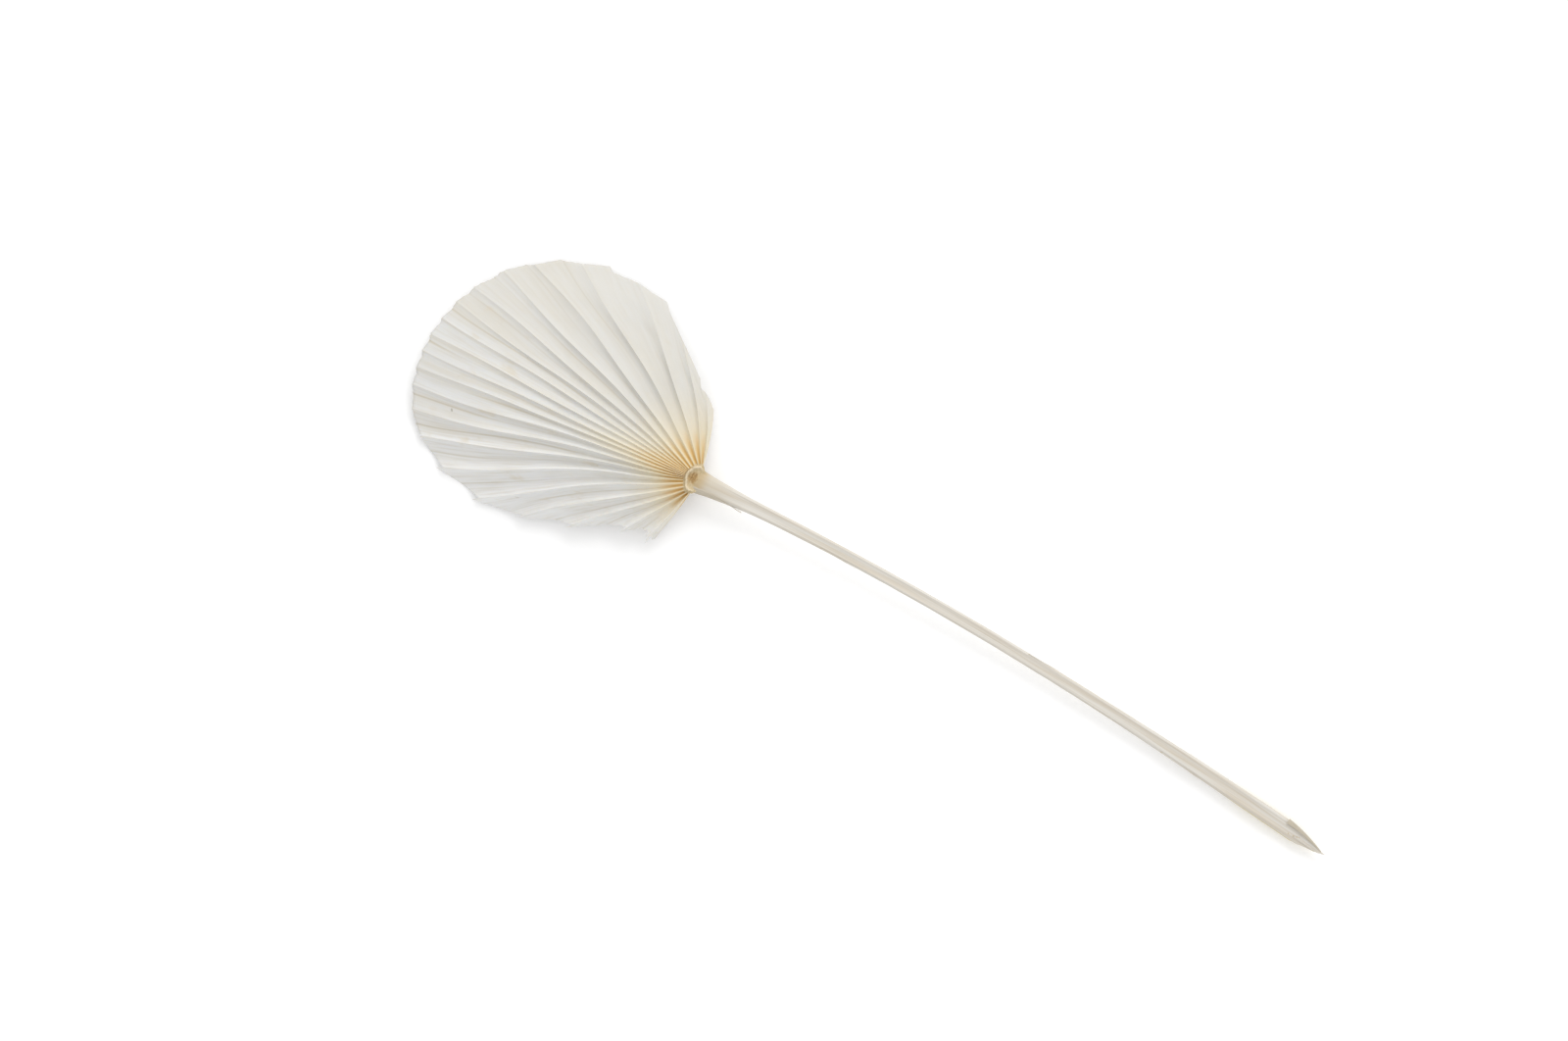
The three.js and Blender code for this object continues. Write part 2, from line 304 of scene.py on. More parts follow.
# The place, depth and width of each split, in folds, millimetres and folds.
SPLITS = ((0.55, 5.0, 0.08), (0.95, 3.5, 0.06), (1.5, 2.2, 0.05), (3.4, 2.6, 0.06), (7.2, 1.8, 0.05))


def rim_detail(fold):
    """How far the real edge stands past the smooth rim at this place along it, in millimetres."""
    u = (fold - RIDGES) / RIDGES
    steps = STEP_DEPTH * (fold / 2 % 1.0 - 0.35) * smooth(u, *STEPS_OVER) * smooth(u, *STEPS_END)
    tips = TIP_DEPTH * (((fold + 1) / 2 % 1.0) ** 2 - 0.3) * smooth(-u, *TIPS_OVER)
    scallops = SCALLOP_DEPTH * (abs(math.sin(math.pi * fold / 2)) - 0.6)
    coarse, fine = noise.noise(Vector((fold * 3.7, 4, 0))), noise.noise(Vector((fold * 11, 8, 0)))
    fray = FRAY_DEPTH * (coarse + fine)
    splits = sum(depth * math.exp(-(((fold - at) / width) ** 2)) for at, depth, width in SPLITS)
    return steps + tips + scallops + fray - splits


print(len(SPLITS), "splits, steps", STEP_DEPTH, "mm high and tips", TIP_DEPTH, "mm")

# %% [markdown]
# ## The blade
#
# The blade could be a row of flat panels, but then each fold would be a knife edge and every panel
# a mirror of the next. Instead one fine grid is laid over the whole fan, with more columns near the
# folds, and each of its points is moved to its place. A sine sags each panel between its folds, a
# bead along each ridge is its rib, and slow noise dents the panels as drying does. Extruding the
# grid down by the thickness of the tissue closes it.

# %% Blade mesh
TISSUE = 0.45  # thickness of the blade, straight down
COLUMNS = 10  # across each half pleat
ROWS = 108
GATHERING = 0.72  # how much the columns gather near the folds
ROW_GROWTH = 1.3  # above 1, the rows are closer together near the hub
RIM_HOLD = 10  # how close to the rim its detail stays
PANEL_HOLLOW = 0.27  # how far a panel sags between its two folds
RIB_HEIGHT = 0.07
RIB_WIDTH = 0.4
DENT = 0.45
DENT_SIZE = 24.0
RIPPLE = 0.16
RIPPLE_SIZE = 5.5
RIPPLE_STRETCH = 2.5  # how much longer the ripples are along the folds


def gathered(count):
    """Turns an even count of columns into one that gathers them near the folds."""
    panel = math.floor(count)
    share = count - panel
    return panel + share - GATHERING * math.sin(2 * math.pi * share) / (2 * math.pi)


def blade_point(fold, t):
    """Place on the blade's upper side, the panel's width and the share of it from the valley."""
    panel = min(int(fold), LAST_FOLD - 1)
    share = fold - panel
    near, far = fold_place(panel, t), fold_place(panel + 1, t)
    place = near.lerp(far, share)
    place += place.normalized() * rim_detail(fold) * t**RIM_HOLD
    distance = place.length
    width = (far - near).length
    from_ridge = share if is_ridge(panel) else 1 - share
    sagged = from_ridge + PANEL_HOLLOW * math.sin(math.pi * from_ridge)
    to_far = sagged if is_ridge(panel) else 1 - sagged
    relief = mix(fold_relief(panel, t, distance), fold_relief(panel + 1, t, distance), to_far)
    beyond_hub = smooth(distance, *BEYOND_HUB)
    rib = RIB_HEIGHT * math.exp(-((from_ridge * width / RIB_WIDTH) ** 2)) * beyond_hub
    dents = DENT * noise.noise(Vector((place.x, place.y, 0)) / DENT_SIZE)
    along = t * RIM_CIRCLE / RIPPLE_SIZE / RIPPLE_STRETCH
    ripples = RIPPLE * noise.noise(Vector((fold * 0.8, along, 7)))
    height = arch_height(place) + relief + rib + (dents + ripples) * beyond_hub
    return Vector((place.x, place.y, height)), width, 1 - from_ridge


def close_below(bm, offset):
    """Gives an open sheet a lower side at an offset in millimetres, and closes it."""
    lower = bmesh.ops.extrude_face_region(bm, geom=bm.faces[:])["geom"]
    lower_verts = [item for item in lower if isinstance(item, bmesh.types.BMVert)]
    bmesh.ops.translate(bm, verts=lower_verts, vec=[value * MM for value in offset])
    bmesh.ops.recalc_face_normals(bm, faces=bm.faces[:])


def build_blade():
    bm = bmesh.new()
    bmesh.ops.create_grid(bm, x_segments=LAST_FOLD * COLUMNS, y_segments=ROWS, size=0.5)
    names = ("valley_mm", "ridge_mm", "hub_mm", "panel_share")
    layers = [bm.verts.layers.float.new(name) for name in names]
    uv_layer = bm.loops.layers.uv.new("rays")
    for vert in bm.verts:
        fold = gathered((vert.co.x + 0.5) * LAST_FOLD)
        t = (vert.co.y + 0.5) ** ROW_GROWTH
        for loop in vert.link_loops:
            loop[uv_layer].uv = (fold / LAST_FOLD, t)
        point, width, share = blade_point(fold, t)
        facts = (share * width, (1 - share) * width, math.hypot(point.x, point.y), share)
        for layer, value in zip(layers, facts):
            vert[layer] = value
        vert.co = placed(point)
    close_below(bm, (0, 0, -TISSUE))
    return bm


def finish_piece(name, bm, replaced=(), sharp_degrees=50):
    """Turns a bmesh into a smooth-shaded piece that rides on the leaf."""
    mesh = bpy.data.meshes.new(name)
    for face in bm.faces:
        face.smooth = True
    for edge in bm.edges:
        if len(edge.link_faces) == 2:
            edge.smooth = edge.calc_face_angle(0) < math.radians(sharp_degrees)
    bm.to_mesh(mesh)
    bm.free()
    piece = bpy.data.objects.new(name, mesh)
    bpy.context.scene.collection.objects.link(piece)
    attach(piece, "root")
    if replaced:
        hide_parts(*replaced)
    print(name, len(mesh.polygons), "faces")
    return piece


blade = finish_piece("leaf_blade", build_blade(), replaced=["blade"], sharp_degrees=80)

# %% [markdown]
# ## The stalk
#
# A palm stalk is a bundle of stiff fibres, round below and channelled above. It widens into a head
# under the hub, and at the other end it is torn to a point and frayed. A tube along its path is
# the obvious start. It is made from a grid rolled up, because that lets each of its points know how
# far round and how far along it is, which the channel, the fibre ridges and the frayed end need.

# %% Stalk path and size
STALK_PATH = (
    Vector((-4.5, -0.6, 9.4)),
    Vector((128, 4.5, 9.2)),
    Vector((250, -9, 1.6)),
    Vector((354.5, -22.2, 2.2)),
)
STALK_HALF = 3.2  # half width along most of it
STALK_HEAD_EXTRA = 4.4  # how much more it is at the hub
STALK_TAPER = 17.0  # length over which that fades
STALK_FOOT_HALF = 4.4
FOOT_OVER = (0.55, 1.0)  # shares of its length over which it widens to the foot
STALK_FLATNESS = 0.68  # half thickness over half width
STALK_THICKEST = 3.4
STALK_NOSE = 5.4  # radius of its rounded front
GROOVE = 0.45  # depth of the channel over half thickness
END_REACH = 19.0  # the torn end narrows to a point over this length
END_LEAN = 0.1  # how far off the middle its point is
STALK_LENGTH = 360.2
END_START = 0.93  # share of the length where the torn end starts


def stalk_centre(s):
    """Point and heading of the stalk's middle line at share s of its path."""
    a, b, c, d = STALK_PATH
    r = 1 - s
    point = a * r**3 + b * (3 * r * r * s) + c * (3 * r * s * s) + d * s**3
    heading = (b - a) * (r * r) + (c - b) * (2 * r * s) + (d - c) * (s * s)
    return point, heading.normalized()


def beside(heading):
    """Level direction to the left of a heading."""
    return Vector((-heading.y, heading.x, 0)).normalized()


def stalk_half_width(x, s):
    """Half width at share s, and at x from the hub where the rounded front limits it."""
    head = STALK_HEAD_EXTRA * math.exp(-s * STALK_LENGTH / STALK_TAPER)
    foot = (STALK_FOOT_HALF - STALK_HALF) * smooth(s, *FOOT_OVER)
    room = math.sqrt(STALK_NOSE**2 - x * x) if x < 0 else STALK_NOSE + x
    return min(STALK_HALF + head + foot, room)


print("stalk ends at", [round(v) for v in stalk_centre(1.0)[0]], "mm from the hub")

# %% Stalk mesh
STALK_SIDES = 72
STALK_STEPS = 420
STEP_GROWTH = 1.2
FIBRE_RIDGE = 0.13
FIBRES_ROUND = 9.0
FIBRES_ALONG = 14
CHANNEL_NARROWNESS = 2.2
CHANNEL_OVER = (0.02, 0.1)  # shares of the length over which the channel deepens
TIP_THINNING = 0.72
END_FRAY = 5.0  # how uneven the torn end is
FRAY_OVER = (0.97, 1.0)


def stalk_point(around, s):
    """Place on the stalk's skin at an angle round it and a share along it."""
    centre, heading = stalk_centre(s)
    across = beside(heading)
    half = stalk_half_width(centre.x, s)
    side, rise = math.cos(around), math.sin(around)
    ending = smooth(s, END_START, 1.0)
    depth = min(half * STALK_FLATNESS, STALK_THICKEST) * (1 - TIP_THINNING * ending)
    hollow = max(0.0, 1 - CHANNEL_NARROWNESS * side * side)
    channel = GROOVE * hollow * smooth(s, *CHANNEL_OVER) if rise > 0 else 0.0
    spot = Vector((side * FIBRES_ROUND, rise * FIBRES_ROUND, s * FIBRES_ALONG))
    ridge = FIBRE_RIDGE * (noise.noise(spot) + 0.6 * noise.noise(spot * 2.3))
    fray = END_FRAY * noise.noise(Vector((side * 7, rise * 4, 3.1))) * smooth(s, *FRAY_OVER)
    torn = END_REACH * ending * (1 - abs(side + END_LEAN)) + fray
    point = centre + across * (side * (half + ridge)) + heading * torn
    point.z += (rise - channel) * depth + rise * ridge
    return point


def build_stalk():
    bm = bmesh.new()
    bmesh.ops.create_grid(bm, x_segments=STALK_SIDES, y_segments=STALK_STEPS, size=0.5)
    uv_layer = bm.loops.layers.uv.new("fibres")
    for vert in bm.verts:
        around = (vert.co.x + 0.5) * 2 * math.pi
        s = (vert.co.y + 0.5) ** STEP_GROWTH
        for loop in vert.link_loops:
            loop[uv_layer].uv = (around / (2 * math.pi), s)
        vert.co = placed(stalk_point(around, s))
    bmesh.ops.remove_doubles(bm, verts=bm.verts[:], dist=0.001 * MM)
    rims = [edge for edge in bm.edges if edge.is_boundary]
    bmesh.ops.holes_fill(bm, edges=rims, sides=0)
    bmesh.ops.triangulate(bm, faces=[face for face in bm.faces if len(face.verts) > 4])
    bmesh.ops.recalc_face_normals(bm, faces=bm.faces[:])
    return bm


stalk = finish_piece("leaf_stalk", build_stalk(), replaced=["petiole"])

# %% [markdown]
# ## The collar
#
# Where the stalk ends, the leaf raises a small crest on its upper side, the hastula. It is angular,
# pale at its edge and has a rough, ochre hollow inside that opens towards the stalk. A disc of
# rings and spokes is lifted into that shape, and then extruded down so that it sits closed on the
# head of the stalk.

# %% Collar mesh
CREST_FRONT = 4.1  # distance of the crest from the hub on the blade's side
CREST_SIDES = 6.2  # and across the stalk
CREST_WIDTH = 0.62
INNER_SLOPE = 1.5  # how much gentler the crest is on its inside
CREST_HEIGHT = 1.7
SKIRT = 2.4  # how far the collar reaches outside its crest
STALK_SKIRT = 0.4  # the same towards the stalk
SKIRT_FLAT = 1.5  # how far out it covers the starts of the folds before it turns down
SKIRT_DROP = 1.2  # how far it turns down there
PITH_LEVEL = 13.2  # height of the hollow's floor over the table
PITH_RADIUS = 3.3
MERGING_DROP = 1.7  # how far the floor sinks into the stalk
COLLAR_THICKNESS = 1.2
COLLAR_RINGS = 40
COLLAR_SPOKES = 140


def collar_point(around, share):
    """Place on the collar's upper side, then how much of it is crest and how much is pith.

    around is 0 towards the stalk, and share is 0 in the middle.
    """
    direction = Vector((math.cos(around), math.sin(around), 0))
    turned = abs(math.remainder(around, 2 * math.pi))
    leafward = smooth(turned, math.radians(45), math.radians(100))
    angular = 1 + 0.1 * noise.noise(direction * 1.7 + Vector((3, 1, 0)))
    pinched = 0.06 * noise.noise(direction * 6 + Vector((0, 7, 0)))
    front = smooth(turned, math.radians(85), math.radians(145))
    crest_at = mix(CREST_SIDES, CREST_FRONT, front) * (angular + pinched)
    radius = (crest_at + mix(STALK_SKIRT, SKIRT, leafward)) * share
    spot = direction * radius
    off_crest = radius - crest_at
    width = CREST_WIDTH * (INNER_SLOPE if off_crest < 0 else 1.0)
    crest = math.exp(-((off_crest / width) ** 2)) * leafward
    chipped = 1 + 0.45 * noise.noise(direction * 3.5) + 0.4 * noise.noise(direction * 9)
    strands = Vector((spot.x * 2.6, spot.y * 0.8, 0))
    rough = 0.45 * noise.noise(strands) + 0.2 * noise.noise(strands * 2.7)
    pith = 1 - smooth(radius + 1.1 * noise.noise(spot * 0.9), PITH_RADIUS - 2.0, PITH_RADIUS + 1.0)
    pith *= 1 - smooth(spot.x, 0.4, 3.2)
    merging = MERGING_DROP * smooth(radius, 0.8, CREST_SIDES) * (1 - leafward)
    skirt_drop = SKIRT_DROP * smooth(off_crest, SKIRT_FLAT, SKIRT)
    raised = PITH_LEVEL + CREST_HEIGHT * crest * chipped + rough * max(pith, 0.3)
    height = raised - merging - skirt_drop
    return spot + Vector((0, 0, height)), crest, pith


def build_collar():
    bm = bmesh.new()
    bmesh.ops.create_grid(bm, x_segments=COLLAR_SPOKES, y_segments=COLLAR_RINGS, size=0.5)
    crest_layer = bm.verts.layers.float.new("crest")
    pith_layer = bm.verts.layers.float.new("pith")
    for vert in bm.verts:
        around = (vert.co.x + 0.5) * 2 * math.pi
        point, vert[crest_layer], vert[pith_layer] = collar_point(around, vert.co.y + 0.5)
        vert.co = placed(point)
    bmesh.ops.remove_doubles(bm, verts=bm.verts[:], dist=0.001 * MM)
    close_below(bm, (0, 0, -COLLAR_THICKNESS))
    return bm


collar = finish_piece("collar", build_collar(), replaced=["hastula"])

# %% [markdown]
# ## Loose fibres
#
# A torn palm stalk frays into single fibres. Each has the shape of a thin, tapering blade of grass,
# so one function sweeps them all along a short curve, narrow at the tip.

# %% Fibre helper
FIBRE_STEPS = 14
FIBRE_SIDES = 6


def sweep(points, widths, thickness):
    """A tapering strip through a few points, smoothed between them, closed at both ends."""
    bm = bmesh.new()
    bmesh.ops.create_grid(bm, x_segments=FIBRE_SIDES, y_segments=FIBRE_STEPS, size=0.5)
    uv_layer = bm.loops.layers.uv.new("fibres")
    spans = len(points) - 1
    for vert in bm.verts:
        around = (vert.co.x + 0.5) * 2 * math.pi
        s = vert.co.y + 0.5
        for loop in vert.link_loops:
            loop[uv_layer].uv = (around / (2 * math.pi), s)
        span = min(int(s * spans), spans - 1)
        share = s * spans - span
        before, after = points[max(span - 1, 0)], points[min(span + 2, spans)]
        start, end = points[span], points[span + 1]
        near, far = start + (end - before) * (share / 2), end - (after - start) * ((1 - share) / 2)
        centre = near.lerp(far, share * share * (3 - 2 * share))
        heading = (end - start).normalized()
        across = beside(heading)
        half = mix(widths[0], widths[1], s) / 2
        lift = Vector((0, 0, thickness / 2 * math.sin(around) * (1 - 0.6 * s)))
        vert.co = placed(centre + across * (half * math.cos(around)) + lift)
    bmesh.ops.remove_doubles(bm, verts=bm.verts[:], dist=0.0005 * MM)
    bmesh.ops.holes_fill(bm, edges=[edge for edge in bm.edges if edge.is_boundary], sides=0)
    bmesh.ops.recalc_face_normals(bm, faces=bm.faces[:])
    return bm


print("each fibre has", FIBRE_SIDES, "sides and", FIBRE_STEPS, "steps")

# %% [markdown]
# Most fibres stand out of the torn end, side by side and as long as the end is there. A few more
# have come away along the stalk and lift at their tips.

# %% Frayed end and stray fibres
END_STRANDS = 17
END_SIDES = 0.95  # share of the end's half width that they cover
ROOT_HALF = 3.8  # half width of the row of fibres at their roots
TIP_HALF = 4.1  # and at their tips
ROOT_DEPTH = 15  # how far back their roots are
STANDING_OUT = 1.5  # how far their tips stand out


def joined(strands):
    """One bmesh out of several closed ones."""
    carrier = bpy.data.meshes.new("carrier")
    whole = bmesh.new()
    for strand in strands:
        strand.to_mesh(carrier)
        whole.from_mesh(carrier)
        strand.free()
    bpy.data.meshes.remove(carrier)
    return whole


def end_strand(n):
    """Fibre number n of those that stand out of the torn end."""
    end, heading = stalk_centre(1.0)
    across = beside(heading)
    side = mix(-END_SIDES, END_SIDES, n / (END_STRANDS - 1))
    reach = END_REACH * (1 - abs(side + END_LEAN)) + 2.5 * uneven(n, 0.3)
    root = end + across * (side * ROOT_HALF) + heading * (reach - ROOT_DEPTH)
    splay = side * TIP_HALF + 1.3 * uneven(n, 1.1)
    tip = end + across * splay + heading * (reach + STANDING_OUT)
    middle = root.lerp(tip, 0.6) + across * (0.6 * uneven(n, 2.2))
    for point, height in ((root, 2.6), (middle, 2.4), (tip, 2.0)):
        point.z = height + 0.8 * uneven(n, 4.0 + height)
    return sweep((root, middle, tip), (0.9 + 0.3 * uneven(n, 5), 0.12), 0.5)


def stray_strand(s, length, side, stand_off):
    """A fibre that lies along one side of the stalk from share s on and lifts at its end."""
    points = []
    for n in range(4):
        centre, heading = stalk_centre(s + length * n / 3)
        across = beside(heading)
        half = stalk_half_width(centre.x, s)
        off = stand_off * (n / 3) ** 2
        points.append(centre + across * (side * (half + off)) + Vector((0, 0, 1.6 + off)))
    return sweep(points, (0.5, 0.1), 0.35)


# Where each stray starts, its length as a share of the stalk, its side, and how far it lifts.
STRAYS = (
    (0.035, 0.05, -0.8, 0.3),
    (0.2, 0.06, -0.92, 0.9),
    (0.52, 0.05, 0.9, 0.8),
    (0.76, 0.07, -0.9, 1.1),
)
strands = [end_strand(n) for n in range(END_STRANDS)] + [stray_strand(*stray) for stray in STRAYS]
fibres = finish_piece("loose_fibres", joined(strands))

# %% [markdown]
# ## Rind
#
# A strip of the grey-brown rind still clings to the -Y edge beside the hub. It narrows to a sliver
# that lifts. It is laid on the stalk's own skin, so that it follows every fibre. Another flake of
# rind stands along the torn end.

# %% Rind
RIND_START = 0.014  # shares of the stalk's length
RIND_END = 0.086
RIND_TOP = math.radians(122)  # how far round the stalk its upper edge is
RIND_FOOT = math.radians(190)
RIND_STEPS = 90
RIND_COLUMNS = 14
RIND_OFF = 0.22  # how far it stands off the stalk
RIND_LIFT = 1.0  # how much more at its end
RIND_UV = 0.2  # how much its streaks are drawn out


def build_rind_strip():
    """A thin skin on the stalk's -Y edge that narrows to a lifted sliver."""
    bm = bmesh.new()
    bmesh.ops.create_grid(bm, x_segments=RIND_COLUMNS, y_segments=RIND_STEPS, size=0.5)
    uv_layer = bm.loops.layers.uv.new("fibres")
    for vert in bm.verts:
        across, along = vert.co.x + 0.5, vert.co.y + 0.5
        for loop in vert.link_loops:
            loop[uv_layer].uv = (across * RIND_UV, along * RIND_UV)
        ragged = 0.05 * noise.noise(Vector((along * 14, 2, 0)))
        top = mix(RIND_TOP, RIND_FOOT - 0.2, smooth(along, 0.35, 1.0)) + ragged
        around = mix(top, RIND_FOOT, across)
        point = stalk_point(around, mix(RIND_START, RIND_END, along))
        lift = RIND_OFF + RIND_LIFT * smooth(along, 0.75, 1.0)
        rise = math.sin(around) * lift + 0.5 * (lift - RIND_OFF)
        point += Vector((0, math.cos(around) * lift, rise))
        vert.co = placed(point)
    close_below(bm, (0, 0.2, -0.25))
    return bm


def build_torn_flake():
    """The grey flake that stands along the torn end."""
    end, heading = stalk_centre(1.0)
    across = beside(heading)
    root = end + across * 3.4 - heading * 5 + Vector((0, 0, 1.9))
    middle = end + across * 2.6 + heading * 5 + Vector((0, 0, 1.7))
    tip = end - across * 0.2 + heading * 18 + Vector((0, 0, 0.4))
    return sweep((root, middle, tip), (3.0, 0.5), 0.5)


rind = finish_piece("loose_rind", joined([build_rind_strip(), build_torn_flake()]))

# %% [markdown]
# ## Colour
#
# Each finish starts from its real substance. One function turns a hex colour into linear light, one
# adds a node with its settings and links, and one puts a colour and a fine relief on the shader.

# %% Material helpers
def colour(hex_code):
    """An sRGB hex colour as linear RGBA."""
    values = [int(hex_code[i : i + 2], 16) / 255 for i in (1, 3, 5)]
    linear = [v / 12.92 if v <= 0.04045 else ((v + 0.055) / 1.055) ** 2.4 for v in values]
    return (*linear, 1.0)


def add(tree, kind, settings=None, **links):
    """Adds a node. Settings name its properties, links name its inputs with a value or a socket."""
    node = tree.nodes.new(kind)
    for name, value in (settings or {}).items():
        setattr(node, name, value)
    for name, value in links.items():
        key = int(name[1:]) if name[1:].isdigit() else name.replace("_", " ")
        socket = node.inputs[key]
        if isinstance(value, bpy.types.NodeSocket):
            tree.links.new(value, socket)
        else:
            socket.default_value = value
    return node


def new_material(name):
    """An empty material and its tree, with a Principled shader on the output."""
    material = bpy.data.materials.new(name)
    material.use_nodes = True
    tree = material.node_tree
    return material, tree, tree.nodes["Principled BSDF"]


def set_surface(tree, shader, tone, relief, strength, depth, roughness):
    """Puts a colour and a fine relief, at most depth millimetres high, on the shader."""
    bump = add(tree, "ShaderNodeBump", Height=relief, Strength=strength, Distance=depth * MM)
    tree.links.new(tone, shader.inputs["Base Color"])
    tree.links.new(bump.outputs[0], shader.inputs["Normal"])
    shader.inputs["Roughness"].default_value = roughness


print("off-white in linear light", [round(value, 2) for value in colour("#D5D5D3")])

# %% [markdown]
# A finish is built up in steps: a mask between 0 and 1, then a blend towards another colour where
# the mask is high. The masks come from stretched noise and from what the mesh stores at its points.

# %% Colour steps
def ramp(tree, value, start, end):
    """A socket that runs smoothly from 0 where value is start to 1 where it is end."""
    node = add(
        tree, "ShaderNodeMapRange", {"interpolation_type": "SMOOTHSTEP"},
        Value=value, From_Min=start, From_Max=end,
    )
    return node.outputs[0]


def calculate(tree, operation, *values):
    """A socket with the result of a sum on sockets or numbers."""
    inputs = {f"_{n}": value for n, value in enumerate(values)}
    return add(tree, "ShaderNodeMath", {"operation": operation}, **inputs).outputs[0]


def times(tree, first, second):
    return calculate(tree, "MULTIPLY", first, second)


def blend(tree, share, below, above):
    """A colour socket: below where share is 0 and above, a hex colour, where it is 1."""
    under = colour(below) if isinstance(below, str) else below
    above = colour(above)
    node = add(tree, "ShaderNodeMix", {"data_type": "RGBA"}, _0=share, _6=under, _7=above)
    return node.outputs[2]


def grain(tree, vector, scale, detail=3.0):
    """Noise stretched by scale, a triple."""
    stretched = add(tree, "ShaderNodeMapping", Vector=vector, Scale=scale).outputs[0]
    noise_node = add(tree, "ShaderNodeTexNoise", Vector=stretched, Scale=1.0, Detail=detail)
    return noise_node.outputs["Fac"]


def fact(tree, name):
    """A number that the mesh stores at each of its points."""
    return add(tree, "ShaderNodeAttribute", {"attribute_name": name}).outputs["Fac"]


print("steps: ramp, times, blend, grain, fact")

# %% [markdown]
# ### Bleached leaf tissue
#
# Bleaching takes the green out and leaves a matt, papery, off-white tissue with fine veins along
# the rays. Sap stays where the bleach reaches least: in the bottoms of the tight valleys round the
# hub, which run from straw through ochre to brown. The tissue is thin enough to glow a little.

# %% Blade material
def tissue_tone(tree, veins, rays, along, flank):
    """The tissue: bands, veins, smudges, flecks, valley lines, and painted light, shade and
    highlights.
    """
    valley, ridge, hub = (fact(tree, name) for name in ("valley_mm", "ridge_mm", "hub_mm"))
    bands = grain(tree, rays, (LAST_FOLD * 0.9, 1.4, 1.0), 2.0)
    smudges = grain(tree, rays, (LAST_FOLD * 0.7, 9.0, 1.0), 4.0)
    flecks = grain(tree, rays, (LAST_FOLD * 1.3, 45.0, 1.0), 1.0)
    # How strong the valley lines are, varying in bands.
    valley_tint_and_shade = times(tree, ramp(tree, bands, 0.3, 0.7), 0.6)
    tone = blend(tree, ramp(tree, bands, 0.38, 0.66), "#D5D5D3", "#D1CEC6")
    # Painted light: the -Y flank is made whiter, to offset the shade it gets from sloping away from
    # the lamp.
    tone = blend(tree, times(tree, flank, 0.9), tone, "#E4E4E3")
    tone = blend(tree, times(tree, ramp(tree, veins, 0.4, 0.72), 0.4), tone, "#C6BFAF")
    tone = blend(tree, times(tree, ramp(tree, smudges, 0.58, 0.74), 0.35), tone, "#C9BB9D")
    tone = blend(tree, times(tree, ramp(tree, flecks, 0.775, 0.81), 0.6), tone, "#958C78")
    # Valley lines: partly the midrib's own beige tint, partly painted shade in the crease.
    tone = blend(tree, times(tree, ramp(tree, valley, 0.8, 0.0), valley_tint_and_shade), tone, "#B5A98F")
    # Painted highlight: a pale line along each ridge, where its edge catches the lamp.
    tone = blend(tree, times(tree, ramp(tree, ridge, 0.7, 0.0), 0.25), tone, "#E0DDD5")
    # Painted shade: the +Y shoulder is made greyer, to offset the lamp light it faces.
    tone = blend(tree, times(tree, ramp(tree, along, 0.5, 0.82), 0.6), tone, "#C8C5BD")
    # Painted light: the tissue is made lighter inside about 85 mm of the hub, to offset the shade
    # between the tight pleats there.
    return blend(tree, times(tree, ramp(tree, hub, 85.0, 50.0), 0.15), tone, "#DFDDD4")


def with_sap(tree, tone, along, flank):
    """The same with sap round the hub, which reaches furthest in the middle of the fan."""
    hub, share = fact(tree, "hub_mm"), fact(tree, "panel_share")
    on_fan = ramp(tree, along, 0.985, 0.93)  # the folded-down flap took no stain
    sideways = calculate(tree, "ABSOLUTE", calculate(tree, "SUBTRACT", along, 0.47))
    on_sides = times(tree, flank, 0.4)
    beyond = calculate(tree, "MULTIPLY_ADD", ramp(tree, sideways, 0.03, 0.2), 0.45, on_sides)
    hub = calculate(tree, "MULTIPLY_ADD", hub, beyond, hub)
    tone = blend(tree, times(tree, ramp(tree, hub, 75.0, 8.0), 0.8), tone, "#E3D5B2")
    straw = times(tree, ramp(tree, hub, 40.0, 10.0), ramp(tree, share, 0.9, 0.4))
    tone = blend(tree, times(tree, straw, on_fan), tone, "#D9BB7F")
    ochre = times(tree, ramp(tree, hub, 38.0, 9.0), ramp(tree, share, 0.5, 0.12))
    tone = blend(tree, times(tree, ochre, on_fan), tone, "#C99F5B")
    dark_side = times(tree, ramp(tree, along, 0.3, 0.38), ramp(tree, along, 0.54, 0.47))
    slit = times(tree, ramp(tree, hub, 24.0, 9.0), ramp(tree, share, 0.4, 0.1))
    return blend(tree, times(tree, slit, dark_side), tone, "#84522E")


def blade_material():
    material, tree, shader = new_material("bleached_palm_tissue")
    rays = add(tree, "ShaderNodeUVMap", {"uv_map": "rays"}).outputs["UV"]
    veins = grain(tree, rays, (LAST_FOLD * 6.0, 5.0, 1.0))
    along = add(tree, "ShaderNodeSeparateXYZ", Vector=rays).outputs["X"]
    flank = ramp(tree, along, 0.44, 0.22)
    tone = with_sap(tree, tissue_tone(tree, veins, rays, along, flank), along, flank)
    set_surface(tree, shader, tone, veins, strength=0.3, depth=0.1, roughness=0.6)
    shader.inputs["Specular IOR Level"].default_value = 0.35
    shader.inputs["Subsurface Weight"].default_value = 0.2
    shader.inputs["Subsurface Radius"].default_value = (1.0, 0.85, 0.6)
    shader.inputs["Subsurface Scale"].default_value = 0.5 * MM
    print(material.name, len(tree.nodes), "nodes")
    return material


blade.data.materials.append(blade_material())


# %% [markdown]
# ### Bleached stalk fibre
#
# The stalk is the same tissue in thick bundles: off-white with long beige and ochre streaks, and
# slightly ribbed to the touch.

